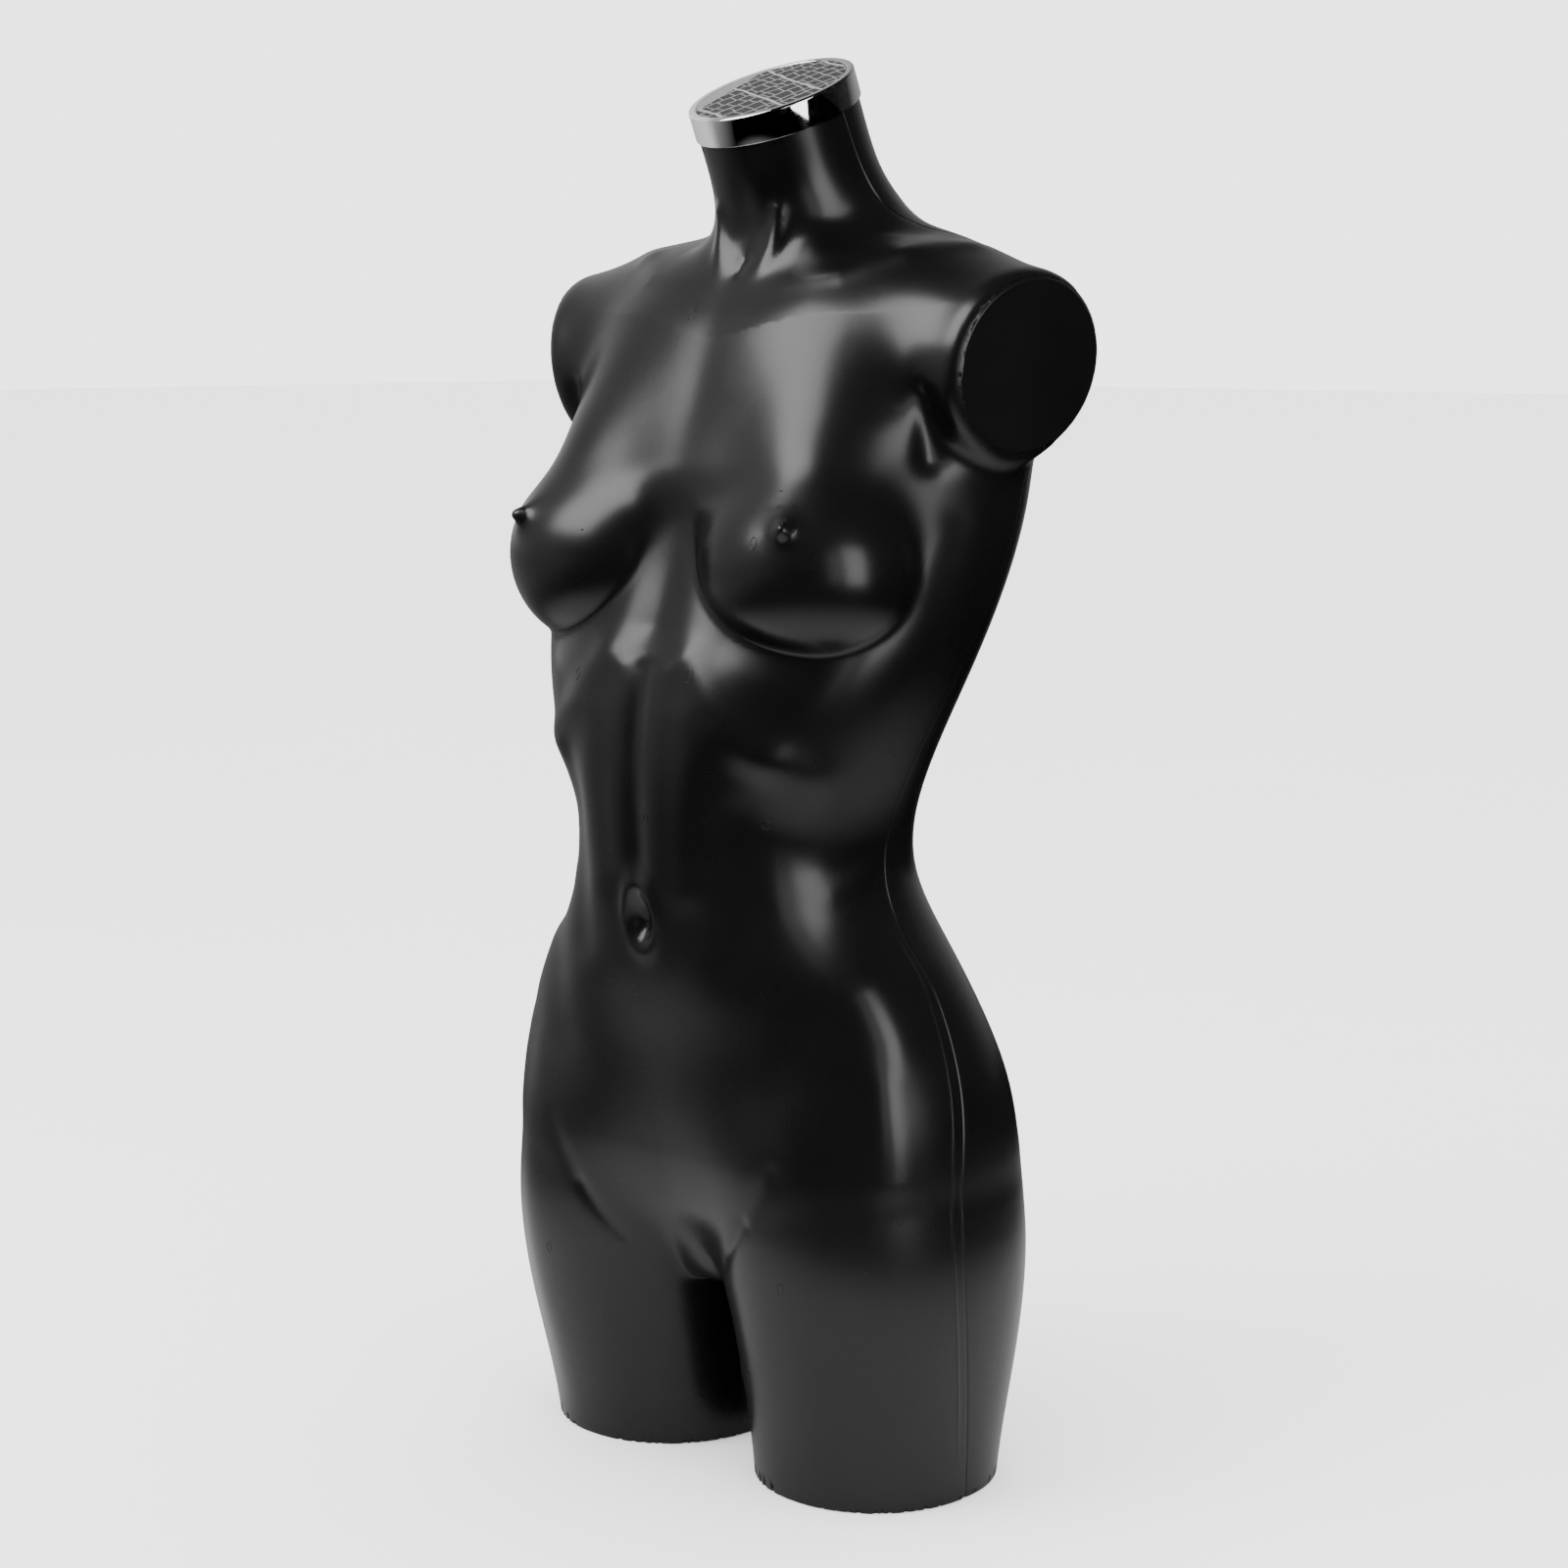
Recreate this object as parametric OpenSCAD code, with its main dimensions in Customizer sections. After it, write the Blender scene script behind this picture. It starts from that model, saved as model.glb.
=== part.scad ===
// Headless female display torso in black moulded plastic with a chrome neck cap.
// The figure stands on its cut thighs: +Z is up, the front faces -Y, z = 0 is the underside.
// The skin is one rounded field. Every wall is a level of it: 0 is the outside, -wall the inside.

/* [Figure] */
// Wall thickness of the moulded shells
wall = 3; // [2:0.5:4]
// Shoulder centre, distance from the middle of the body
shoulder_x = 119; // [114:1:122]
// Shoulder centre, distance behind the middle of the footprint
shoulder_y = 37; // [31:1:43]
// Height of the shoulder centre
shoulder_z = 703; // [696:1:708]
// Shoulder centre to the flat arm face
arm_reach = 62; // [58:1:64]
// Half width of the arm face, front to back
arm_ry = 59; // [55:1:62]
// Half height of the arm face
arm_rz = 57; // [54:1:60]
// Forward and downward turn of the arm faces, degrees
arm_turn = 10; // [6:1:12]

/* [Neck] */
// Height of the centre of the cap's top
neck_top_z = 860; // [852:1:864]
// Cap centre, distance behind the middle of the footprint
neck_top_y = -3; // [-9:1:1]
// Forward lean of the neck, degrees
neck_tilt = 24; // [20:1:26]
// Radius of the neck under the cap
neck_r = 50.8; // [50:0.1:51]

/* [Neck cap] */
// Height of the chrome band
cap_h = 18; // [16:1:20]
// Wall of the chrome band
cap_wall = 1.3; // [1:0.1:1.6]
// Gap between the neck and the band
cap_gap = 0.5; // [0.4:0.1:0.6]
// Width of the raised lip round the inlay
cap_lip = 4.8; // [4:0.1:6]
// Depth of the recess for the inlay
cap_recess = 1.4; // [1.2:0.1:1.8]
// Thickness of the inlay disc
inlay_t = 1; // [0.8:0.1:1.1]
// Radius of the friction spigot
spigot_r = 20; // [18:0.5:22]
// Radial clearance of the spigot in the plug
spigot_gap = 0.05; // [0.02:0.01:0.1]

/* [Stand fitting] */
// Bore of the stand socket, for a 25 mm pole
socket_bore = 25.4; // [25.2:0.1:25.8]
// Outside diameter of the stand socket
socket_od = 32; // [31:0.5:34]
// Length of the stand socket
socket_len = 112; // [100:1:114]
// Height of the clamp screw
clamp_z = 58; // [50:1:64]

/* [Hidden] */
// Stations of the body: first height and distance between two
station_base = -32;
station_step = 60;
// Half width, front and back of the trunk at each station
trunk_w = [40, 40, 40, 70, 153, 156, 130, 97, 118, 145, 160, 162, 152, 112, 60];
trunk_front = [-53, -53, -53, -67, -89, -103, -120, -123, -128, -122, -98, -70, -37, -19, -3];
trunk_back = [27, 27, 27, 32, 81, 91, 84, 67, 71, 88, 109, 127, 127, 95, 79];
// Centre, half width and half depth of the thigh at each station
thigh_x = [86, 89, 93, 94, 90, 86, 84];
thigh_y = [1, -1, -4, -6, -8, -13, -21];
thigh_w = [72, 76, 82, 86, 86, 78, 50];
thigh_d = [74, 80, 94, 102, 99, 81, 45];
// Y of the parting line at each station
seam_y = [1, -5, -17, -26, -26, -19, -17, -17, -11, 7, 32, 55, 69, 59, 25, -7, -33];
// Radius of the neck along its axis, from its root to its top
neck_rs = [64, 57, 52.5, 51, 50.8, 50.8];
neck_len = 150;
nipple = [109, -113, 600];

crotch_z = 128;
ring_n = 40;
leg_n = 26;
arm_n = 28;
reach = 240;
eps = 0.01;
gap = 0.3;

// Arm closing plate
plate_t = 3;
plate_rim = 6;
flange_lap = 3;
flange_t = 2;

// Neck frame levels, measured down from the cap's top
cap_plate_t = 1.4;
cap_floor = -cap_recess - cap_plate_t;
plug_top = cap_floor - gap;
plug_flange_t = 2;
plug_h = 24;
plug_r = neck_r - wall - 0.9;
shell_top = plug_top - plug_flange_t;
cap_ri = neck_r + cap_gap;
cap_ro = cap_ri + cap_wall;
inlay_r = cap_ro - cap_lip - 0.3;
spigot_len = 18;
spigot_flange_r = 26;
spigot_flange_t = 3;
cap_screw_r = 2.5;
cap_screw_head_r = 4.5;
cap_screw_head_h = 3;

// Stand fitting in the figure's right thigh
socket_x = -88;
socket_y = -1;
socket_flange_r = 31;
socket_flange_t = 3;
base_t = 4;
base_gap = 0.4;
screw_pcd = 47;
screw_r = 2;
screw_head_r = 4;
bulkhead_z = 102;
bulkhead_t = 4;
block_w = 20;
block_d = 14;
clamp_r = 4;
clamp_head_r = 6.5;
clamp_head_h = 8;
clamp_len = 62;
shoe_r = 3.2;
shoe_t = 2;
key_af = 4;

// ---- rounded field ----

// Smooth union, smooth intersection and a smooth curve through a station table
function smin(a, b, k) =
    let (h = max(k - abs(a - b), 0) / k)
    min(a, b) - h * h * h * k / 6;
function smax(a, b, k) = -smin(-a, -b, k);
function at(v, i) = v[max(0, min(len(v) - 1, i))];
function curve(v, t) =
    let (i = floor(t), u = t - i)
    ((1 - u) ^ 3 * at(v, i - 1) + (3 * u ^ 3 - 6 * u ^ 2 + 4) * at(v, i)
        + (-3 * u ^ 3 + 3 * u ^ 2 + 3 * u + 1) * at(v, i + 1) + u ^ 3 * at(v, i + 2)) / 6;
function station(v, z) = curve(v, (z - station_base) / station_step);

// Distance to an upright superellipse section, an ellipsoid and a tapered capsule
function section_field(x, y, w, d, n) =
    let (
        a = abs(x) / w + eps, b = abs(y) / d + eps,
        q = (a ^ n + b ^ n) ^ (1 / n),
        g = norm([a ^ (n - 1) / w, b ^ (n - 1) / d]) * q ^ (1 - n)
    )
    (q - 1) / g;
function ellipsoid(p, c, r) =
    let (q = [for (i = [0:2]) (p[i] - c[i]) / r[i]], s = [for (i = [0:2]) q[i] / r[i]])
    norm(q) * (norm(q) - 1) / (norm(s) + eps / 100);
function capsule(p, a, b, ra, rb) =
    let (ab = b - a, t = max(0, min(1, (p - a) * ab / (ab * ab))))
    norm(p - a - t * ab) - (ra + (rb - ra) * t);

function trunk(p) =
    let (
        z = p[2],
        f = station(trunk_front, z),
        b = station(trunk_back, z),
        body = section_field(p[0], p[1] - (f + b) / 2, station(trunk_w, z), (b - f) / 2, 2.25)
    )
    smax(smax(body, crotch_z - 10 - z, 30), z - 762, 40);
function thigh(p) =
    let (
        z = p[2],
        body = section_field(p[0] - station(thigh_x, z), p[1] - station(thigh_y, z),
            station(thigh_w, z), station(thigh_d, z), 2.1)
    )
    smax(body, z - 328, 60);
function hips(p) =
    smin(
        smin(trunk(p), thigh(p), 10 + 60 * max(0, min(1, (p[2] - crotch_z) / 120))),
        ellipsoid(p, [66, 45, 193], [78, 68, 80]), 22
    );

// Point in the arm's own frame: x runs out along the arm
function arm_point(p) =
    let (
        c = cos(arm_turn), s = sin(arm_turn),
        q = p - [shoulder_x, shoulder_y, shoulder_z],
        x = c * q[0] - s * q[2],
        z = s * q[0] + c * q[2]
    )
    [c * x - s * q[1], s * x + c * q[1], z];
function arm(p) =
    let (q = arm_point(p), d = (norm([q[1] / arm_ry, q[2] / arm_rz]) - 1) * arm_rz)
    smax(smax(d, q[0] - arm_reach - 12, 6), -q[0] - 40, 40);
function breast(p) =
    smin(
        smin(ellipsoid(p, nipple + [-25, 54, -27], [67, 61, 59]),
            capsule(p, nipple + [-10, 39, -11], nipple + [-44, 113, 81], 29, 54), 30),
        capsule(p, nipple + [-15, 36, -8], nipple, 22, 4), 16
    );
function neck(p) =
    let (
        axis = [0, -sin(neck_tilt), cos(neck_tilt)],
        root = [0, neck_top_y, neck_top_z] - neck_len * axis,
        t = (p - root) * axis,
        r = norm(p - root - t * axis)
    )
    smax(smax(r - curve(neck_rs, t * 5 / neck_len), t - neck_len - 12, 3), -t - 20, 20);

function figure(px, y, z) =
    let (
        p = [abs(px), y, z],
        a = smin(hips(p), arm(p), 32),
        b = smin(a, breast(p), 6 + 84 * max(0, min(1, (z - 574) / 90))),
        c = smin(b, capsule(p, [30, 53, 763], [104, 43, 718], 26, 40), 50)
    )
    smin(c, neck(p), 50);

// ---- lofted walls ----

// Distance from a centre to a level of the field along one direction, kept between two x planes
function radius_at(c, d, level, x_lo, x_hi, lo, hi, n) =
    n == 0 ? (lo + hi) / 2
    : let (
        r = (lo + hi) / 2,
        p = c + r * d,
        inside = figure(p[0], p[1], p[2]) < level && p[0] > x_lo && p[0] < x_hi
    )
    radius_at(c, d, level, x_lo, x_hi, inside ? r : lo, inside ? hi : r, n - 1);

// Ring of n points round a centre, from direction v towards direction u
function ring(c, u, v, level, x_lo, x_hi, n, far) =
    [for (j = [0:n - 1])
        let (d = sin(j * 360 / n) * u + cos(j * 360 / n) * v)
        c + radius_at(c, d, level, x_lo, x_hi, 0, far, 12) * d];

function level_ring(x, y, z, level, x_lo, x_hi, n, far) =
    ring([x, y, z], [1, 0, 0], [0, -1, 0], level, x_lo, x_hi, n, far);
function trunk_ring(z, level) =
    let (
        x_hi = z > 645 ? 145 : reach,
        c = [0, trunk_centre(z), z],
        half = [for (j = [0:ring_n / 2])
            let (d = [sin(j * 360 / ring_n), -cos(j * 360 / ring_n), 0])
            c + radius_at(c, d, level, -1, x_hi, 0, reach, 12) * d]
    )
    concat(half, [for (j = [ring_n / 2 - 1:-1:1]) [-half[j][0], half[j][1], z]]);
function thigh_ring(z, level) =
    level_ring(station(thigh_x, z), station(thigh_y, z), z, level, -1, reach, leg_n, 130);

module loft(rings) {
    n = len(rings[0]);
    m = len(rings);
    points = [for (r = rings) each r];
    sides = [for (i = [0:m - 2], j = [0:n - 1])
        let (a = i * n + j, b = i * n + (j + 1) % n)
        each [[a, b + n, b], [a, a + n, b + n]]];
    bottom = [for (j = [0:n - 1]) j];
    top = [for (j = [n - 1:-1:0]) (m - 1) * n + j];
    polyhedron(points = points, faces = concat([bottom], sides, [top]), convexity = 6);
}

function heights(a, b, step) = [for (z = [a:step:b - step / 2]) z];
trunk_zs = concat(heights(crotch_z, 518, 19.5), heights(518, 620, 10), heights(620, 700, 15),
    heights(700, 800, 10), heights(800, neck_top_z + 45, 18));
function trunk_centre(z) =
    z > 700 ? neck_top_y + (neck_top_z - z) * tan(neck_tilt) * min(1, (z - 640) / 150)
    : (station(trunk_front, z) + station(trunk_back, z)) / 2;

// Solid out to one level of the field, from the thighs to past the arm faces and the neck's top
module solid(level) {
    loft([for (z = trunk_zs) trunk_ring(z, level)]);
    for (side = [0, 1])
        mirror([side, 0, 0]) {
            loft([for (z = heights(-2, crotch_z + 24, 16)) thigh_ring(z, level)]);
            arm_loft(level);
        }
}

module arm_loft(level) {
    c = cos(arm_turn);
    s = sin(arm_turn);
    axis = [c * c, -s, -s * c];
    loft([for (t = heights(-32, arm_reach + 12, 12))
        ring([shoulder_x, shoulder_y, shoulder_z] + t * axis, [s, 0, c], [s * c, c, -s * s],
            level, 20, reach, arm_n, arm_ry + 20)]);
}

module neck_frame() {
    translate([0, neck_top_y, neck_top_z]) rotate([neck_tilt, 0, 0]) children();
}

module arm_frame(side) {
    mirror([side < 0 ? 1 : 0, 0, 0])
        translate([shoulder_x, shoulder_y, shoulder_z])
            rotate([0, arm_turn, 0]) rotate([0, 0, -arm_turn]) rotate([0, 90, 0]) children();
}

// Everything cut away by the flat ends, with the arm and neck faces set back by a distance
module ends(back, floor_z) {
    translate([-reach, -reach, -50]) cube([2 * reach, 2 * reach, 50 + floor_z]);
    for (side = [-1, 1])
        arm_frame(side)
            translate([-66, -80, arm_reach - back]) cube([150, 160, 80]);
    neck_frame()
        translate([-100, -100, shell_top - back]) cube([200, 200, 100]);
}

// Region in front of the parting line, or behind it, moved by a distance
module seam_side(front, shift) {
    zs = [for (z = [-40:20:920]) z];
    edge = front ? -reach : reach;
    rotate([90, 0, 90])
        translate([0, 0, -reach])
            linear_extrude(2 * reach)
                polygon(concat([for (z = zs) [station(seam_y, z) + shift, z]], [[edge, 920], [edge, -40]]));
}

module arm_hole(side) {
    arm_frame(side)
        translate([0, 0, arm_reach - 20])
            linear_extrude(40) scale([arm_rz - plate_rim, arm_ry - plate_rim]) circle(r = 1, $fn = 48);
}

module skin() {
    difference() {
        solid(0);
        ends(0, 0);
        difference() {
            solid(-wall);
            arm_limit();
        }
        for (side = [-1, 1]) arm_hole(side);
        neck_frame()
            translate([0, 0, shell_top - plug_h - 2]) cylinder(h = 80, r = neck_r - wall, $fn = 64);
    }
}

// Keeps the arm's end wall one wall thick
module arm_limit() {
    for (side = [-1, 1])
        arm_frame(side)
            translate([-66, -80, arm_reach - wall]) cube([150, 160, 80]);
}

module shell(front) {
    intersection() {
        skin();
        seam_side(front, 0);
    }
}

module front_shell() {
    color([0.03, 0.03, 0.03]) resize([0, 0, 0]) shell(true);
}

module back_shell() {
    color([0.03, 0.03, 0.03]) resize([0, 0, 0])
        difference() {
            shell(false);
            translate([socket_x, socket_y + 60, clamp_z])
                rotate([-90, 0, 0]) cylinder(h = 60, r = clamp_head_r + 1.5, $fn = 32);
        }
}

// Strip bonded behind the parting line on one side of the body
module seam_band(side) {
    band_half = 9;
    resize([0, 0, 0])
        intersection() {
            difference() {
                solid(-wall - gap);
                solid(-wall - gap - 2.5);
                ends(wall + flange_t + 2, base_t + 2);
                neck_frame() translate([-100, -100, shell_top - plug_h - 4]) cube([200, 200, 100]);
            }
            difference() {
                seam_side(true, band_half);
                seam_side(true, -band_half);
            }
            translate([side > 0 ? 60 : -60 - reach, -reach, 0]) cube([reach, 2 * reach, shoulder_z + 45]);
        }
}

module seam_band_left() { color([0.12, 0.12, 0.12]) seam_band(1); }
module seam_band_right() { color([0.12, 0.12, 0.12]) seam_band(-1); }

// ---- closing plates ----

module oval(shrink, h) {
    linear_extrude(h) scale([arm_rz - shrink, arm_ry - shrink]) circle(r = 1, $fn = 48);
}

module arm_plate(side) {
    arm_frame(side) {
        translate([0, 0, arm_reach - wall - 0.1]) oval(plate_rim + gap, plate_t - 0.6);
        translate([0, 0, arm_reach - wall - gap - flange_t]) oval(plate_rim - flange_lap + 1.5, flange_t + 0.3);
    }
}

module arm_plate_left() { color([0.03, 0.03, 0.03]) arm_plate(1); }
module arm_plate_right() { color([0.03, 0.03, 0.03]) arm_plate(-1); }

// Outline of the left thigh's inside at one height
function thigh_outline(z, level) = [for (p = thigh_ring(z, level)) [p[0], p[1]]];

module thigh_plate(side) {
    mirror([side < 0 ? 1 : 0, 0, 0])
        linear_extrude(base_t) polygon(thigh_outline(0, -wall - base_gap));
}

module thigh_plate_left() { color([0.05, 0.05, 0.05]) thigh_plate(1); }
module thigh_plate_right() {
    color([0.05, 0.05, 0.05])
        difference() {
            thigh_plate(-1);
            translate([socket_x, socket_y, -1]) cylinder(h = base_t + 2, d = socket_od + 0.4, $fn = 64);
            socket_screws() screw_body(0.1);
        }
}

// ---- neck cap ----

module neck_plug() {
    color([0.06, 0.06, 0.06])
        neck_frame()
            rotate_extrude($fn = 96)
                polygon([
                    [spigot_r + spigot_gap, shell_top - plug_h], [plug_r, shell_top - plug_h],
                    [plug_r, shell_top], [neck_r - 0.4, shell_top], [neck_r - 0.4, plug_top],
                    [spigot_flange_r + 1, plug_top], [spigot_flange_r + 1, cap_floor - spigot_flange_t - 0.5],
                    [spigot_r + spigot_gap, cap_floor - spigot_flange_t - 0.5]
                ]);
}

module neck_cap() {
    color([0.8, 0.8, 0.82])
        neck_frame()
            rotate_extrude($fn = 96)
                polygon([
                    [0, cap_floor], [cap_ri, cap_floor], [cap_ri, -cap_h], [cap_ro, -cap_h],
                    [cap_ro, -0.8], [cap_ro - 0.8, 0], [cap_ro - cap_lip, 0],
                    [cap_ro - cap_lip, -cap_recess], [0, -cap_recess]
                ]);
}

module cap_inlay() {
    color([0.25, 0.25, 0.25])
        neck_frame()
            translate([0, 0, -cap_recess]) cylinder(h = inlay_t, r = inlay_r, $fn = 96);
}

module cap_spigot() {
    color([0.1, 0.1, 0.1])
        neck_frame()
            difference() {
                union() {
                    translate([0, 0, cap_floor - spigot_flange_t])
                        cylinder(h = spigot_flange_t, r = spigot_flange_r, $fn = 64);
                    translate([0, 0, cap_floor - spigot_len])
                        cylinder(h = spigot_len - 1, r = spigot_r, $fn = 64);
                }
                translate([0, 0, cap_floor - spigot_len - 1])
                    cylinder(h = spigot_len + 2, r = cap_screw_r + 0.1, $fn = 32);
                translate([0, 0, cap_floor - spigot_len - 1])
                    cylinder(h = cap_screw_head_h + 1.5, r = cap_screw_head_r + 0.5, $fn = 32);
            }
}

module cap_screw() {
    color([0.7, 0.7, 0.7])
        neck_frame()
            translate([0, 0, cap_floor - spigot_len + 0.5])
                difference() {
                    union() {
                        cylinder(h = cap_screw_head_h, r = cap_screw_head_r, $fn = 32);
                        cylinder(h = spigot_len - 0.5, r = cap_screw_r, $fn = 32);
                    }
                    translate([0, 0, -1]) cylinder(h = 2.6, d = 4, $fn = 6);
                }
}

// ---- stand fitting ----

module socket_screws() {
    for (i = [0:2]) socket_screw_at(i) children();
}

module socket_screw_at(i) {
    translate([socket_x, socket_y, 0]) rotate([0, 0, 90 + 120 * i]) translate([screw_pcd / 2, 0, 0]) children();
}

// Countersunk screw with its head in the underside of the thigh plate
module screw_body(extra) {
    translate([0, 0, 0.4 - extra]) cylinder(h = 2, r1 = screw_head_r + extra, r2 = screw_r + extra, $fn = 32);
    translate([0, 0, 0.4]) cylinder(h = 9, r = screw_r + extra, $fn = 32);
}

module socket_screw(i) {
    color([0.75, 0.75, 0.75])
        socket_screw_at(i)
            difference() {
                screw_body(0);
                translate([-3, -0.4, 0]) cube([6, 0.8, 1]);
            }
}

module socket_screw_1() { socket_screw(0); }
module socket_screw_2() { socket_screw(1); }
module socket_screw_3() { socket_screw(2); }

module stand_socket() {
    color([0.6, 0.6, 0.62])
        difference() {
            union() {
                translate([socket_x, socket_y, 0.5]) cylinder(h = socket_len, d = socket_od, $fn = 64);
                translate([socket_x, socket_y, base_t])
                    cylinder(h = socket_flange_t, r = socket_flange_r, $fn = 64);
            }
            translate([socket_x, socket_y, -1]) cylinder(h = socket_len + 3, d = socket_bore, $fn = 64);
            socket_screws() translate([0, 0, -1]) cylinder(h = 20, r = screw_r + 0.1, $fn = 32);
            translate([socket_x, socket_y, clamp_z])
                rotate([-90, 0, 0]) cylinder(h = 40, r = clamp_r + 0.05, $fn = 32);
        }
}

module socket_bulkhead() {
    color([0.05, 0.05, 0.05])
        difference() {
            translate([0, 0, bulkhead_z])
                mirror([1, 0, 0])
                    linear_extrude(bulkhead_t) polygon(thigh_outline(bulkhead_z, -wall - 4));
            translate([socket_x, socket_y, bulkhead_z - 1])
                cylinder(h = bulkhead_t + 2, d = socket_od + 0.2, $fn = 64);
        }
}

module clamp_block() {
    block_y = socket_y + socket_od / 2 - 2;
    color([0.55, 0.55, 0.57])
        difference() {
            translate([socket_x - block_w / 2, block_y, clamp_z - block_w / 2])
                cube([block_w, block_d + 2, block_w]);
            translate([socket_x, socket_y, clamp_z - block_w])
                cylinder(h = 2 * block_w, d = socket_od + 0.1, $fn = 64);
            translate([socket_x, block_y - 1, clamp_z])
                rotate([-90, 0, 0]) cylinder(h = block_d + 5, r = clamp_r + 0.05, $fn = 32);
        }
}

// Clamp frame: origin on the socket wall's inner face, z runs out through the back of the thigh
module clamp_frame() {
    translate([socket_x, socket_y + socket_bore / 2 + 0.4, clamp_z]) rotate([-90, 0, 0]) children();
}

module clamp_shoe() {
    color([0.75, 0.6, 0.25])
        clamp_frame() cylinder(h = shoe_t, r = shoe_r, $fn = 32);
}

module clamp_screw() {
    color([0.65, 0.65, 0.67])
        clamp_frame()
            difference() {
                union() {
                    translate([0, 0, shoe_t + 0.1]) cylinder(h = clamp_len, r = clamp_r, $fn = 32);
                    translate([0, 0, clamp_len]) cylinder(h = clamp_head_h, r = clamp_head_r, $fn = 32);
                }
                translate([0, 0, clamp_len + clamp_head_h - 4]) cylinder(h = 5, d = 2 * key_af / sqrt(3), $fn = 6);
            }
}

front_shell();
back_shell();
seam_band_left();
seam_band_right();
arm_plate_left();
arm_plate_right();
thigh_plate_left();
thigh_plate_right();
neck_plug();
neck_cap();
cap_inlay();
cap_spigot();
cap_screw();
stand_socket();
socket_screw_1();
socket_screw_2();
socket_screw_3();
socket_bulkhead();
clamp_block();
clamp_screw();
clamp_shoe();
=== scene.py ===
"""Headless female display torso: black moulded shells, closed arm ends and a chrome neck cap."""

import math

import bpy
import numpy as np
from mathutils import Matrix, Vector


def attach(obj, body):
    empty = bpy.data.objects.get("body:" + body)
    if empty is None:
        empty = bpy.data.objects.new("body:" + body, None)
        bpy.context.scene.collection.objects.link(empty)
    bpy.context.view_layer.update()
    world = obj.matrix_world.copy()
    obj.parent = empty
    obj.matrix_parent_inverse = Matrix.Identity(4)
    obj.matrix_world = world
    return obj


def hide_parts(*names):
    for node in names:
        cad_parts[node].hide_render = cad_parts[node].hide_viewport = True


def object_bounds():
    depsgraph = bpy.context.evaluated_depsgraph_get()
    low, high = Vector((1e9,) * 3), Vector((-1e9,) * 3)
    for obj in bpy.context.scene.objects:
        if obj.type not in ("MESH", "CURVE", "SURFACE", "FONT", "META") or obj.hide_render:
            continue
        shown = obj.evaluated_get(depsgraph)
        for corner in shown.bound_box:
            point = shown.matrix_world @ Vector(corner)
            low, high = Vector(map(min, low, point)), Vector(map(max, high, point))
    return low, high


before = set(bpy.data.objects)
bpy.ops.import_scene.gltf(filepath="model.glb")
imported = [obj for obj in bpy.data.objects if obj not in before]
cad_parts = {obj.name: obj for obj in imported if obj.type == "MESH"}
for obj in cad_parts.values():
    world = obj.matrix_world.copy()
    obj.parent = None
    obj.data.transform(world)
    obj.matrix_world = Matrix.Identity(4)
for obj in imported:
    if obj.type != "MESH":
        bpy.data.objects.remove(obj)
CAD_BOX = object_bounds()

bl_info = {
    "name": "Display torso",
    "version": (1, 0, 0),
    "blender": (4, 5, 0),
    "location": "View3D > Sidebar > Torso",
    "description": "Builds the skin, cap, plates and stage of a moulded display torso",
    "category": "Object",
}

MM = 0.001

# Stations run up the body, in millimetres: first height and distance between two.
STATION_BASE = -32.0
STATION_STEP = 60.0
TRUNK_WIDTH = (40, 40, 40, 70, 153, 156, 130, 97, 118, 145, 160, 162, 152, 112, 60)
TRUNK_FRONT = (-53, -53, -53, -67, -89, -103, -120, -123, -128, -122, -98, -70, -37, -19, -3)
TRUNK_BACK = (27, 27, 27, 32, 81, 91, 84, 67, 71, 88, 109, 127, 127, 95, 79)
THIGH_X = (86, 89, 93, 94, 90, 86, 84)
THIGH_Y = (1, -1, -4, -6, -8, -13, -21)
THIGH_WIDTH = (72, 76, 82, 86, 86, 78, 50)
THIGH_DEPTH = (74, 80, 94, 102, 99, 81, 45)
SEAM_Y = (1, -5, -17, -26, -26, -19, -17, -17, -11, 7, 32, 55, 69, 59, 25, -7, -33)
NECK_RADII = (64, 57, 52.5, 51, 50.8, 50.8)
NECK_LENGTH = 150.0
CROTCH = 128.0

NIPPLE = np.array((109.0, -113.0, 600.0))
SHOULDER = np.array((119.0, 37.0, 703.0))
ARM_REACH = 62.0
ARM_HALF_DEPTH = 59.0
ARM_HALF_HEIGHT = 57.0
ARM_TURN = math.radians(10)
NECK_TOP = np.array((0.0, -3.0, 860.0))
NECK_TILT = math.radians(24)
NECK_AXIS = np.array((0.0, -math.sin(NECK_TILT), math.cos(NECK_TILT)))
NECK_SIDE = np.array((0.0, math.cos(NECK_TILT), math.sin(NECK_TILT)))

WALL = 3.0
SHELL_TOP = -5.1
PLUG_RADIUS = 46.9
PLUG_DEPTH = 27.0
PLATE_RIM = 6.0
PLATE_GAP = 0.6
BEAD_INSET = PLATE_RIM + 0.5
BEAD_LEVEL = ARM_REACH - 2.7
THIGH_POCKET = 4.6
SOCKET = (-88.0, -1.0)
SOCKET_RADIUS = 14.5
SOCKET_DEPTH = 115.0
CLAMP_HEIGHT = 58.0
CLAMP_HOLE = 8.0

# Grid rows beside the parting line, close together where the groove and the flash line run.
SEAM_ROWS = (
    -9.6, -8.8, -8.25, -7.75, -7.2, -6.3, -4.8, -3.3, -2.2, -1.4, -0.8, -0.35,
    0.35, 0.8, 1.4, 2.2, 3.3,
)
# Points worked out at one time, to keep memory down.
CHUNK = 200000
# Below this length of a cell's mean normal, the surface has an edge in the cell.
SHARP_BELOW = 0.93
# Small pull towards a cell's mean crossing, which keeps the vertices of flat cells steady.
HOLD = 0.02
# Vertices this near the parting line are put on it.
SEAM_REACH = 0.35


# ---- rounded field of the body, millimetres ----


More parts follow.
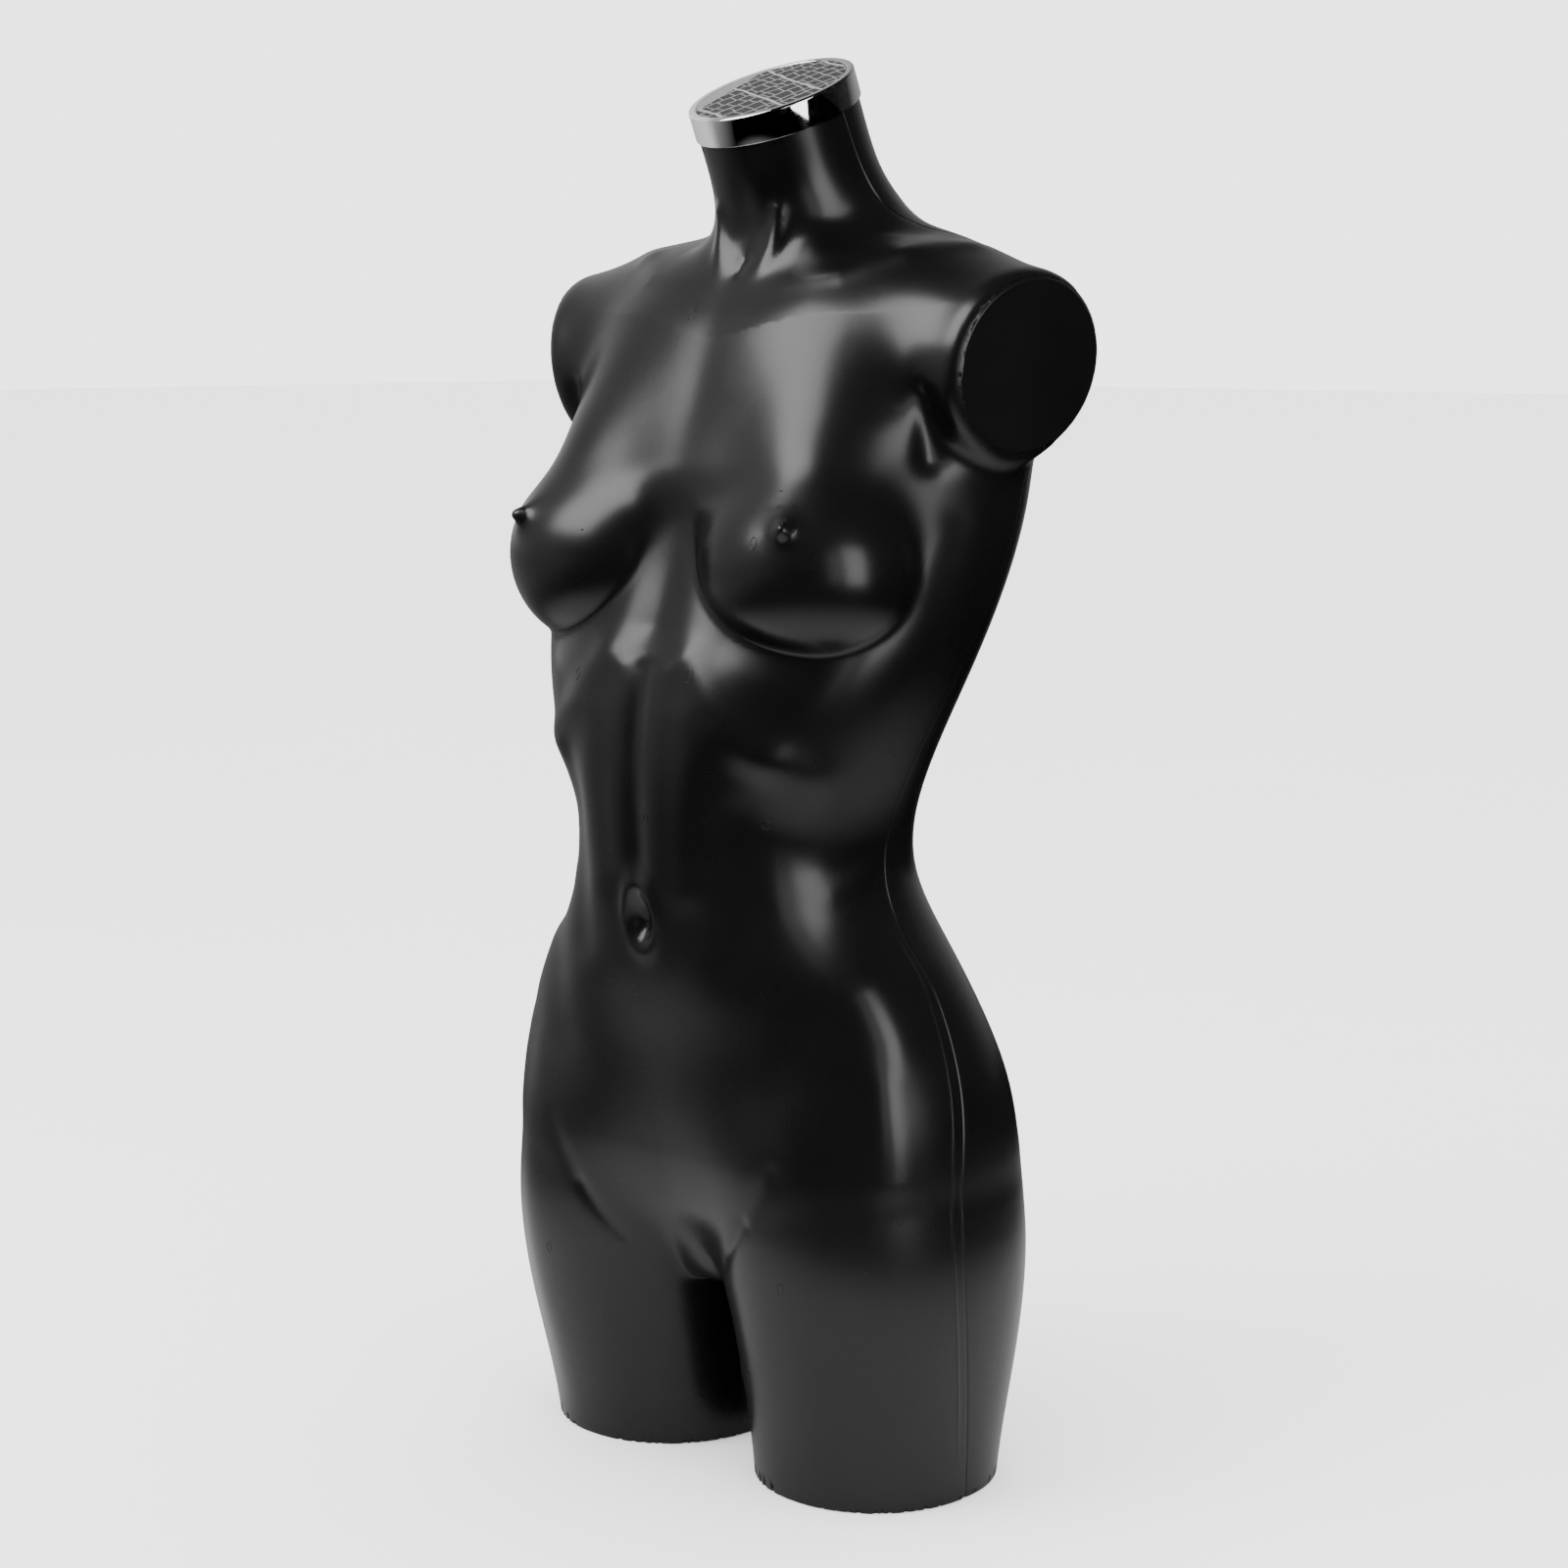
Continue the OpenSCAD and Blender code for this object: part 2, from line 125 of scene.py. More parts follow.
def smooth_min(a, b, reach):
    """Smaller of two fields, blended where they are within reach of each other."""
    h = np.maximum(reach - np.abs(a - b), 0.0) / reach
    return np.minimum(a, b) - h * h * h * reach / 6.0


def smooth_max(a, b, reach):
    return -smooth_min(-a, -b, reach)


def ease(t):
    """Smooth step from 0 to 1."""
    t = np.clip(t, 0, 1)
    return t * t * (3 - 2 * t)


def curve(values, t):
    """Cubic B-spline through a table, with the ends held."""
    table = np.asarray(values, float)
    whole = np.floor(t)
    u = t - whole
    i = whole.astype(int)
    last = len(table) - 1
    a, b, c, d = (table[np.clip(i + k, 0, last)] for k in (-1, 0, 1, 2))
    low = (1 - u) ** 3 * a + (3 * u**3 - 6 * u**2 + 4) * b
    high = (-3 * u**3 + 3 * u**2 + 3 * u + 1) * c + u**3 * d
    return (low + high) / 6.0


def station(values, z):
    """Value of a station table at a height."""
    return curve(values, (z - STATION_BASE) / STATION_STEP)


def section(x, y, width, depth, power):
    """Distance to an upright column whose cross-section is a rounded oval."""
    a = np.abs(x) / width + 1e-3
    b = np.abs(y) / depth + 1e-3
    q = (a**power + b**power) ** (1.0 / power)
    slope = np.sqrt((a ** (power - 1) / width) ** 2 + (b ** (power - 1) / depth) ** 2)
    return (q - 1) / (slope * q ** (1 - power))


def ellipsoid(p, centre, radii):
    q = (p - np.array(centre)) / np.array(radii)
    far = np.sqrt((q * q).sum(-1))
    slope = np.sqrt(((q / np.array(radii)) ** 2).sum(-1)) + 1e-6
    return far * (far - 1) / slope


def capsule(p, a, b, radius_a, radius_b):
    """Distance to a bar from a to b whose radius changes evenly."""
    a = np.array(a, float)
    ab = np.array(b, float) - a
    t = np.clip(((p - a) @ ab) / (ab @ ab), 0, 1)
    return np.sqrt(((p - a - t[..., None] * ab) ** 2).sum(-1)) - (radius_a + (radius_b - radius_a) * t)


def arm_frame(m):
    """Along the arm, front to back, and up, from the shoulder's centre."""
    c, s = math.cos(ARM_TURN), math.sin(ARM_TURN)
    q = m - SHOULDER
    along = c * q[..., 0] - s * q[..., 2]
    up = s * q[..., 0] + c * q[..., 2]
    return c * along - s * q[..., 1], s * along + c * q[..., 1], up


def body(p):
    """Smooth figure before relief, pockets and flat ends."""
    x, y, z = np.abs(p[..., 0]), p[..., 1], p[..., 2]
    m = np.stack([x, y, z], -1)
    front, back = station(TRUNK_FRONT, z), station(TRUNK_BACK, z)
    d = section(x, y - (front + back) / 2, station(TRUNK_WIDTH, z), (back - front) / 2, 2.25)
    d = smooth_max(smooth_max(d, CROTCH - 10 - z, 30), z - 762, 40)
    # Above the crotch the two sides run into each other without a crease down the middle.
    apart = np.sqrt(x * x + (14 * ease((z - CROTCH - 4) / 50)) ** 2) - station(THIGH_X, z)
    thigh = section(apart, y - station(THIGH_Y, z), station(THIGH_WIDTH, z), station(THIGH_DEPTH, z), 2.1)
    d = smooth_min(d, smooth_max(thigh, z - 328, 60), 10 + 60 * ease((z - CROTCH + 4) / 90))
    d = smooth_min(d, ellipsoid(m, (66, 45, 193), (78, 68, 80)), 22)
    along, across, up = arm_frame(m)
    arm = (np.sqrt((across / ARM_HALF_DEPTH) ** 2 + (up / ARM_HALF_HEIGHT) ** 2) - 1) * ARM_HALF_HEIGHT
    d = smooth_min(d, smooth_max(smooth_max(arm, along - ARM_REACH, 18), -along - 40, 40), 32)
    # The two breasts also run into each other, down the breastbone.
    soft = np.stack([np.sqrt(x * x + 14**2), y, z], -1)
    breast = smooth_min(
        ellipsoid(soft, NIPPLE + (-25, 54, -27), (67, 61, 59)),
        capsule(soft, NIPPLE + (-10, 39, -11), NIPPLE + (-44, 113, 81), 29, 54),
        30,
    )
    breast = smooth_min(breast, capsule(soft, NIPPLE + (-15, 36, -8), NIPPLE, 22, 4), 16)
    d = smooth_min(d, breast, 6 + 84 * ease((z - 574) / 90))
    d = smooth_min(d, capsule(m, (30, 53, 763), (104, 43, 718), 26, 40), 50)
    root = NECK_TOP - NECK_LENGTH * NECK_AXIS
    t = (p - root) @ NECK_AXIS
    r = np.sqrt(((p - root - t[..., None] * NECK_AXIS) ** 2).sum(-1))
    neck = smooth_max(r - curve(NECK_RADII, t * 5 / NECK_LENGTH), -t - 20, 20)
    return smooth_min(d, neck, 50)


# ---- relief: soft ridges (+) and hollows (-) along short lines ----

# Each entry is height, width, then points as (x, y, z); both sides of the body get it.
RELIEF = (
    # collarbones, throat and neck
    (2.2, 8, ((16, -28, 729), (45, -29, 736), (76, -22, 743), (105, 2, 756))),
    (1.4, 10, ((105, 2, 756), (130, 30, 764))),
    (-3.0, 17, ((60, 6, 768), (92, 28, 772))),
    (-3.6, 8, ((0, -24, 747), (0, -22, 752))),
    (1.4, 5, ((0, -32, 729), (14, -29, 733))),
    (2.4, 6, ((14, -27, 740), (21, -25, 762), (26, -26, 785))),
    (-1.6, 10, ((0, -22, 765), (0, -38, 815))),
    # breastbone, then the hollow between the breasts
    (13.0, 50, ((0, -52, 700), (0, -82, 640))),
    (-5.0, 18, ((0, -98, 598), (0, -106, 566), (0, -112, 542))),
    # belly: midline, muscles, rib edges and waist
    (-2.2, 7, ((0, -120, 512), (0, -126, 450), (0, -122, 388))),
    (1.2, 9, ((18, -120, 512), (17, -126, 450), (15, -122, 390))),
    (2.2, 16, ((38, -122, 484), (40, -124, 440), (37, -120, 384))),
    (-2.2, 17, ((72, -110, 448), (68, -108, 400), (60, -106, 344))),
    (2.8, 14, ((34, -118, 520), (44, -116, 506), (62, -114, 484), (86, -104, 463))),
    (1.6, 14, ((86, -104, 463), (112, -84, 450))),
    (-2.4, 20, ((70, -104, 426), (96, -90, 414))),
    (-1.8, 13, ((62, -114, 534), (98, -96, 522))),
    # hips
    (2.0, 9, ((78, -84, 374), (98, -60, 380), (110, -32, 391))),
    (3.2, 19, ((128, -60, 322), (144, -58, 296))),
    (-3.4, 25, ((104, -96, 306), (96, -104, 276))),
    # groin creases and the fill between them
    (-0.8, 8, ((94, -106, 214), (78, -105, 190), (64, -102, 170), (48, -93, 150), (36, -81, 138))),
    (-0.9, 5, ((70, -104, 179), (58, -99, 162), (46, -91, 148))),
    (6.0, 62, ((0, -94, 220), (0, -86, 178))),
    (6.0, 38, ((0, -86, 176), (0, -82, 154))),
    # fronts of the thighs
    (-1.6, 17, ((128, -84, 268), (136, -88, 225), (136, -88, 120), (132, -84, 20))),
    (1.4, 13, ((153, -70, 268), (158, -68, 215))),
    # armpits and sides, then the nipples
    (-3.0, 10, ((143, -24, 676), (142, -22, 640))),
    (-1.5, 12, ((152, -8, 600), (143, -20, 560))),
    (2.0, 3.6, ((109, -113, 600), (111, -118, 601))),
    # back: spine, shoulder blades, dimples, seat and the folds under it
    (-6.0, 13, ((0, 118, 700), (0, 106, 600), (0, 68, 430), (0, 74, 300))),
    (4.0, 32, ((84, 112, 665), (78, 118, 620))),
    (-1.5, 18, ((118, 100, 655), (112, 104, 610))),
    (-2.6, 10, ((36, 90, 292), (38, 90, 286))),
    (-8.0, 9, ((0, 92, 250), (0, 96, 200), (0, 70, 140))),
    (-3.0, 9, ((34, 92, 124), (70, 96, 120), (110, 78, 130))),
)
NAVEL_HEIGHT = 360
GROOVE_DEPTH = 0.75
GROOVE_WIDTH = 0.8
STEP_HEIGHT = 0.3
FLASH_OFFSET = -8.0
FLASH_HEIGHT = 0.35


def line_distance(p, points):
    best = np.full(p.shape[:-1], 1e9)
    for a, b in zip(points[:-1], points[1:]):
        best = np.minimum(best, capsule(p, a, b, 0, 0))
    return best


def navel(p):
    """Upright oval rim, heavier above, round a soft pit."""
    x, up = p[..., 0], p[..., 2] - NAVEL_HEIGHT
    front = (p[..., 1] < -60).astype(float)
    oval = np.sqrt((x / 10.5) ** 2 + (up / (18.0 + 2.0 * np.tanh(up / 10))) ** 2)
    rim = (2.4 + 0.8 * np.tanh(up / 8)) * np.exp(-(((oval - 1.1) / 0.5) ** 2))
    pit = -8.5 * np.exp(-((oval / 0.75) ** 2))
    knot = 2.4 * np.exp(-((x / 3.5) ** 2) - ((up - 2) / 6.0) ** 2)
    return front * (rim + pit + knot)


def relief(p, strength):
    m = np.stack([np.abs(p[..., 0]), p[..., 1], p[..., 2]], -1)
    total = np.zeros(p.shape[:-1])
    for height, width, points in RELIEF:
        near = line_distance(m, points) / width
        total += height * np.exp(-near * near)
    total += navel(p)
    # The neck stays round where the cap sits on it.
    return strength * total * ease((-24 - (p - NECK_TOP) @ NECK_AXIS) / 30)


def seam_relief(p):
    """Groove, step and flash line along the parting line."""
    off = p[..., 1] - station(SEAM_Y, p[..., 2])
    z = p[..., 2]
    groove = -GROOVE_DEPTH * np.exp(-((off / GROOVE_WIDTH) ** 2))
    step = -STEP_HEIGHT * 0.5 * (1 + np.tanh(off / 0.6)) * np.exp(-((off / 9) ** 2))
    window = np.clip((z - 20) / 40, 0, 1) * np.clip((372 - z) / 40, 0, 1)
    flash = FLASH_HEIGHT * np.exp(-(((off - FLASH_OFFSET) / 0.9) ** 2)) * window
    return groove + step + flash


def pockets(p, d, skin):
    """Flat ends and the hollows that the closing plates, plug, socket and screw sit in."""
    x, y, z = p[..., 0], p[..., 1], p[..., 2]
    m = np.stack([np.abs(x), y, z], -1)
    along, across, up = arm_frame(m)
    half_depth, half_height = ARM_HALF_DEPTH - PLATE_RIM, ARM_HALF_HEIGHT - PLATE_RIM
    oval = (np.sqrt((across / half_depth) ** 2 + (up / half_height) ** 2) - 1) * half_height
    d = np.maximum(d, -np.maximum(oval, ARM_REACH - WALL - PLATE_GAP - along))
    axial = (p - NECK_TOP) @ NECK_AXIS
    radial = np.sqrt(np.maximum(((p - NECK_TOP) ** 2).sum(-1) - axial**2, 0))
    d = np.maximum(d, axial - SHELL_TOP)
    d = np.maximum(d, -np.maximum(radial - PLUG_RADIUS, SHELL_TOP - PLUG_DEPTH - axial))
    d = np.maximum(d, -z)
    d = np.maximum(d, -np.maximum(skin + WALL + 0.2, z - THIGH_POCKET))
    bore = np.sqrt((x - SOCKET[0]) ** 2 + (y - SOCKET[1]) ** 2) - SOCKET_RADIUS
    d = np.maximum(d, -np.maximum(bore, z - SOCKET_DEPTH))
    hole = np.sqrt((x - SOCKET[0]) ** 2 + (z - CLAMP_HEIGHT) ** 2) - CLAMP_HOLE
    return np.maximum(d, -np.maximum(hole, SOCKET[1] - y))


def skin_field(p, strength):
    d = body(p)
    band = np.abs(d) < 20
    near = p[band]
    d[band] -= relief(near, strength) + seam_relief(near)
    return pockets(p, d, d.copy())


# ---- surface net on a grid that leans along the parting line ----


def grid_axes(cell):
    low, high = CAD_BOX[0], CAD_BOX[1]
    xs = np.arange(low[0] / MM - 8, high[0] / MM + 8 + cell, cell)
    zs = np.arange(-8.0, NECK_TOP[2] + 34, cell)
    seams = station(SEAM_Y, zs)
    fine = np.array(SEAM_ROWS)
    reach_front = low[1] / MM - 12 - seams.max()
    reach_back = high[1] / MM + 12 - seams.min()
    front = np.arange(fine[0] - cell, reach_front - cell, -cell)[::-1]
    back = np.arange(fine[-1] + 0.6 * cell, reach_back + cell, cell)
    return xs, np.concatenate([front, fine, back]), zs


def lean(points, sign):
    """Moves points between the world and the grid, whose Y zero is the parting line."""
    moved = points.copy()
    moved[..., 1] += sign * station(SEAM_Y, points[..., 2])
    return moved


def sample_grid(axes, strength):
    """Field on the whole grid: every second point first, the rest only near the surface."""
    shape = tuple(len(a) for a in axes)
    coarse_axes = [a[::2] for a in axes]
    coarse = np.stack(np.meshgrid(*coarse_axes, indexing="ij"), -1)
    values = skin_field(lean(coarse, 1), strength)
    for axis in range(3):
        values = np.repeat(values, 2, axis)
    values = values[: shape[0], : shape[1], : shape[2]].copy()
    reach = 4 * (axes[0][1] - axes[0][0]) + 3
    near = np.argwhere(np.abs(values) < reach)
    for start in range(0, len(near), CHUNK):
        part = near[start : start + CHUNK]
        points = np.stack([axes[k][part[:, k]] for k in range(3)], -1)
        values[tuple(part.T)] = skin_field(lean(points, 1), strength)
    return values


def slope(points, strength, gap=0.3):
    """Gradient of the field along the leaning grid's axes."""
    parts = []
    for axis in np.eye(3) * gap:
        ahead = skin_field(lean(points + axis, 1), strength)
        behind = skin_field(lean(points - axis, 1), strength)
        parts.append(ahead - behind)
    return np.stack(parts, -1) / (2 * gap)


def unit(vectors):
    return vectors / np.maximum(np.linalg.norm(vectors, axis=-1, keepdims=True), 1e-9)


def crossings(values, axes, axis, strength):
    """Grid edges along one axis that the surface crosses: start, place and which end is inside."""
    inside = values < 0
    edges = np.argwhere(inside != np.roll(inside, -1, axis))
    edges = edges[edges[:, axis] < values.shape[axis] - 1]
    after = edges.copy()
    after[:, axis] += 1
    low, high = axes[axis][edges[:, axis]], axes[axis][after[:, axis]]
    a, b = values[tuple(edges.T)], values[tuple(after.T)]
    places = np.stack([axes[k][edges[:, k]] for k in range(3)], -1).astype(float)
    for _ in range(2):
        here = low + (high - low) * a / (a - b)
        places[:, axis] = here
        d = skin_field(lean(places, 1), strength)
        same = (d < 0) == (a < 0)
        low, a = np.where(same, here, low), np.where(same, d, a)
        high, b = np.where(same, high, here), np.where(same, b, d)
        a = np.where(np.abs(a) < 1e-9, np.where(b < 0, 1e-9, -1e-9), a)
    places[:, axis] = low + (high - low) * a / (a - b)
    return edges, places, inside[tuple(edges.T)]


def solve_cells(pull, index, centre, on_seam, count):
    """Shift from each cell's mean crossing to where the planes meet, and whether they form an edge."""
    matrix = np.zeros((len(centre), 3, 3))
    right = np.zeros((len(centre), 3))
    total = np.zeros((len(centre), 3))
    for corner, places, normals in pull:
        which = index[tuple(corner.T)]
        np.add.at(matrix, which, normals[:, :, None] * normals[:, None, :])
        np.add.at(right, which, normals * ((places - centre[which]) * normals).sum(-1, keepdims=True))
        np.add.at(total, which, normals)
    matrix[on_seam, 1, :] = 0
    matrix[on_seam, :, 1] = 0
    right[on_seam, 1] = 0
    matrix += np.eye(3) * (HOLD * count)[:, None, None]
    shift = np.linalg.solve(matrix, right[:, :, None])[:, :, 0]
    return shift, np.linalg.norm(total, axis=1) / count < SHARP_BELOW


def surface_net(values, axes, strength):
    """One vertex in each cell that the surface crosses, placed so that sharp edges stay sharp."""
    cells = tuple(n - 1 for n in values.shape)
    weight, mean = np.zeros(cells), np.zeros((*cells, 3))
    pull, rings = [], []
    for axis in range(3):
        u, v = np.eye(3, dtype=int)[(axis + 1) % 3], np.eye(3, dtype=int)[(axis + 2) % 3]
        edges, places, leaving = crossings(values, axes, axis, strength)
        at_u, at_v = edges @ u, edges @ v
        inner = (at_u > 0) & (at_v > 0) & (at_u < cells[(axis + 1) % 3]) & (at_v < cells[(axis + 2) % 3])
        edges, places, leaving = edges[inner], places[inner], leaving[inner]
        normals = unit(slope(places, strength, 0.2))
        ring = [edges, edges - u, edges - u - v, edges - v]
        for corner in ring:
            np.add.at(weight, tuple(corner.T), 1)
            np.add.at(mean, tuple(corner.T), places)
            pull.append((corner, places, normals))
        rings.append((ring, leaving))
    used = np.argwhere(weight > 0)
    index = np.full(cells, -1, np.int64)
    index[tuple(used.T)] = np.arange(len(used))
    count = weight[tuple(used.T)]
    centre = mean[tuple(used.T)] / count[:, None]
    on_seam = np.abs(centre[:, 1]) < SEAM_REACH
    centre[on_seam, 1] = 0
    shift, sharp = solve_cells(pull, index, centre, on_seam, count)
    low = np.stack([axes[k][used[:, k]] for k in range(3)], -1)
    high = np.stack([axes[k][used[:, k] + 1] for k in range(3)], -1)
    vertices = np.clip(centre + shift, low, high)
    vertices[on_seam, 1] = 0
    quads = []
    for ring, leaving in rings:
        face = np.stack([index[tuple(corner.T)] for corner in ring], -1)
        face[~leaving] = face[~leaving][:, ::-1]
        quads.append(face)
    return vertices, np.concatenate(quads), on_seam, sharp


def settle(vertices, on_seam, sharp, strength, cell):
    """Slides each vertex of the smooth parts on to the surface; the parting line's stay on it."""
    moving = np.flatnonzero(~sharp)
    for _ in range(2):
        part = vertices[moving]
        g = slope(part, strength)
        g[on_seam[moving], 1] = 0
        d = skin_field(lean(part, 1), strength)
        move = -g * (d / np.maximum((g * g).sum(-1), 0.05))[:, None]
        size = np.linalg.norm(move, axis=1, keepdims=True)
        vertices[moving] = part + move * np.minimum(1, 0.3 * cell / np.maximum(size, 1e-9))
    return vertices


def true_normals(points, strength):
    g = slope(points, strength, 0.25)
    # The grid leans, so a Z step on it also moves Y: take that part out again.
    lean_rate = station(SEAM_Y, points[:, 2] + 0.5) - station(SEAM_Y, points[:, 2] - 0.5)
    g[:, 2] -= g[:, 1] * lean_rate
    return unit(g)


def make_mesh(name, vertices, faces, corner_normals=None):
    mesh = bpy.data.meshes.new(name)
    mesh.from_pydata((vertices * MM).tolist(), [], faces.tolist())
    mesh.polygons.foreach_set("use_smooth", [True] * len(mesh.polygons))
    if corner_normals is not None:
        mesh.normals_split_custom_set(corner_normals.tolist())
    mesh.update()
    obj = bpy.data.objects.new(name, mesh)
    bpy.context.scene.collection.objects.link(obj)
    return obj


def build_skin(cell, strength):
    """Front and back skins that meet exactly along the parting line."""
    axes = grid_axes(cell)
    vertices, quads, on_seam, sharp = surface_net(sample_grid(axes, strength), axes, strength)
    vertices = settle(vertices, on_seam, sharp, strength, cell)
    corners = true_normals(vertices, strength)[quads]
    # At a sharp edge each face's corner takes the normal a little way into that face.
    face_id, corner_id = np.nonzero(sharp[quads])
    middle = vertices[quads].mean(1)
    start = vertices[quads[face_id, corner_id]]
    corners[face_id, corner_id] = true_normals(start + 0.45 * (middle[face_id] - start), strength)
    offs = vertices[quads][:, :, 1]
    skins = []
    for name, chosen in (("front_skin", offs.max(1) < 1e-4), ("back_skin", offs.min(1) > -1e-4)):
        used, flat = np.unique(quads[chosen], return_inverse=True)
        faces, normals = flat.reshape(-1, 4), corners[chosen].reshape(-1, 3)
        skins.append(make_mesh(name, lean(vertices[used], 1), faces, normals))
    return skins


# ---- small raised ovals left by the mould ----

# Centre on the figure's front (x, z) and long half axis; one side only each.
VENT_MARKS = (
    (-22, 724, 3.6), (105, 735, 3.4), (89, 592, 3.6), (-59, 505, 3.6), (39, 511, 4.0),
    (9, 424, 3.0), (80, 424, 3.0), (-10, 314, 3.0), (-101, 129, 3.4), (100, 145, 3.4),
)


def front_point(x, z, strength):
    """Walks back from in front of the figure until it meets the skin."""
    y = np.full(np.shape(x), CAD_BOX[0][1] / MM - 5)
    for _ in range(60):
        y += 0.7 * np.clip(skin_field(np.stack([x, y, z], -1), strength), -4, 20)
    return np.stack([x, y, z], -1)


def ring_faces(rings, around):
    """Faces of a closed tube whose rings follow each other."""
    j, i = np.divmod(np.arange(rings * around), around)
    a, b = j * around + i, j * around + (i + 1) % around
    c, d = (j + 1) % rings * around + (i + 1) % around, (j + 1) % rings * around + i
    return np.stack([a, b, c, d], -1)


def build_vent_marks(strength, around=28, sides=8, tube=0.32):
    turn = np.linspace(0, 2 * math.pi, around, endpoint=False)
    vertices, faces = [], []
    for x, z, size in VENT_MARKS:
        ring = front_point(x + 0.62 * size * np.cos(turn), z + size * np.sin(turn), strength)
        centre = ring.mean(0)
        tangent = np.roll(ring, -1, 0) - np.roll(ring, 1, 0)
        tangent /= np.linalg.norm(tangent, axis=1, keepdims=True)
        outward = np.cross(ring - centre, tangent)
        outward /= np.linalg.norm(outward, axis=1, keepdims=True)
        outward[outward[:, 1] > 0] *= -1
        sideways = np.cross(tangent, outward)
        start = len(vertices) * around
        for angle in np.linspace(0, 2 * math.pi, sides, endpoint=False):
            vertices.append(ring + tube * (math.cos(angle) * sideways + 0.6 * math.sin(angle) * outward))
        faces.append(start + ring_faces(sides, around))
    return make_mesh("vent_marks", np.concatenate(vertices), np.concatenate(faces))


def arm_to_world(along, across, up, side):
    """From the arm's frame to the body's; side is 1 for the left arm and -1 for the right."""
    c, s = math.cos(ARM_TURN), math.sin(ARM_TURN)
    level = c * along + s * across
    place = np.stack([c * level + s * up, c * across - s * along, c * up - s * level], -1) + SHOULDER
    return place * np.array((side, 1, 1))


def build_arm_bead(name, side, around=144, sides=14, tube=2.1):
    """Rounded bead over the rim round the plate that closes an arm."""
    turn = np.linspace(0, 2 * math.pi, around, endpoint=False)
    rings = []
    for angle in np.linspace(0, 2 * math.pi, sides, endpoint=False):
        inset = BEAD_INSET - tube * math.cos(angle)
        along = np.full(around, BEAD_LEVEL + tube * math.sin(angle))
        across = (ARM_HALF_DEPTH - inset) * np.cos(turn)
        up = (ARM_HALF_HEIGHT - inset) * np.sin(turn)
        rings.append(arm_to_world(along, across, up, side))
    return make_mesh(name, np.concatenate(rings), ring_faces(sides, around))


# ---- lathed neck cap ----


def neck_to_world(points):
    x, y, z = points[..., 0:1], points[..., 1:2], points[..., 2:3]
    return NECK_TOP + x * np.array((1.0, 0, 0)) + y * NECK_SIDE + z * NECK_AXIS


def rounded(profile, radius, steps=5):
    """Replaces each inner corner of an open outline with a short arc."""
    path = [np.array(profile[0], float)]
    for before, here, after in zip(profile[:-2], profile[1:-1], profile[2:]):
        before, here, after = (np.array(v, float) for v in (before, here, after))
        room = min(np.linalg.norm(before - here), np.linalg.norm(after - here)) * 0.45
        cut = min(radius, room)
        a = here + (before - here) / np.linalg.norm(before - here) * cut
        b = here + (after - here) / np.linalg.norm(after - here) * cut
        for t in np.linspace(0, 1, steps):
            path.append((1 - t) ** 2 * a + 2 * t * (1 - t) * here + t**2 * b)
    path.append(np.array(profile[-1], float))
    return np.array(path)


def lathe(name, outline, around=192):
    """Turns an outline of (radius, height) round the neck's axis."""
    turn = np.linspace(0, 2 * math.pi, around, endpoint=False)
    rings = [np.stack([r * np.cos(turn), r * np.sin(turn), np.full(around, z)], -1) for r, z in outline]
    vertices = neck_to_world(np.concatenate(rings))
    faces = []
    for j in range(len(outline) - 1):
        for i in range(around):
            a, b = j * around + i, j * around + (i + 1) % around
            faces.append((a, b, b + around, a + around))
    return make_mesh(name, vertices, np.array(faces))


def build_cap():
    """Band with a raised lip and a recess in its top, and the cap's underside."""
    radius, height, lip, wall = 52.6, 18.0, 4.8, 1.3
    chamfer, lip_chamfer, foot = 0.9, 0.6, 1.5
    recess, ceiling, middle = -1.42, -2.9, 0.5
    outline = [
        (radius - wall, -height + foot), (radius - wall, -height), (radius, -height), (radius, -chamfer),
        (radius - chamfer, 0), (radius - lip + lip_chamfer, 0), (radius - lip, -lip_chamfer),
        (radius - lip, recess), (middle, recess),
    ]
    cap = lathe("neck_cap_band", rounded(outline, 0.5))
    under = [(radius - wall, -height + foot), (radius - wall, ceiling), (middle, ceiling + 0.1)]
    inner = lathe("neck_cap_underside", np.array(under[::-1]))
    return cap, inner


def build_inlay():
    """Disc with a fine bevel that fills the cap's recess."""
    radius, bottom, top, bevel = 47.4, -1.38, -0.38, 0.35
    outline = [(radius, bottom), (radius, -0.55), (radius - bevel, top), (0.4, top)]
    return lathe("cap_inlay_disc", rounded(outline, 0.2), 144)


# ---- materials ----


def new_material(name):
    material = bpy.data.materials.new(name)
    material.use_nodes = True
    tree = material.node_tree
    return material, tree, tree.nodes["Principled BSDF"]


def add(tree, kind, links=(), **values):
    """Adds a node, sets its properties or unlinked sockets, and joins its inputs."""
    node = tree.nodes.new(kind)
    for key, value in values.items():
        if hasattr(node, key):
            setattr(node, key, value)
        else:
            node.inputs[key.replace("_", " ")].default_value = value
    for socket, source in links:
        tree.links.new(source, node.inputs[socket])
    return node


def ramp(tree, factor, stops):
    node = add(tree, "ShaderNodeValToRGB", [("Fac", factor)])
    elements = node.color_ramp.elements
    while len(elements) < len(stops):
        elements.new(0.5)
    for element, (position, shade) in zip(elements, stops):
        element.position = position
        element.color = (shade, shade, shade, 1) if isinstance(shade, float) else (*shade, 1)
    return node


def map_range(tree, value, start, end, first, last, **options):
    """Maps start to end on to first to last, and holds the ends."""
    node = add(tree, "ShaderNodeMapRange", [("Value", value)], **options)
    for socket, number in (("From Min", start), ("From Max", end), ("To Min", first), ("To Max", last)):
        node.inputs[socket].default_value = number
    return node.outputs["Result"]


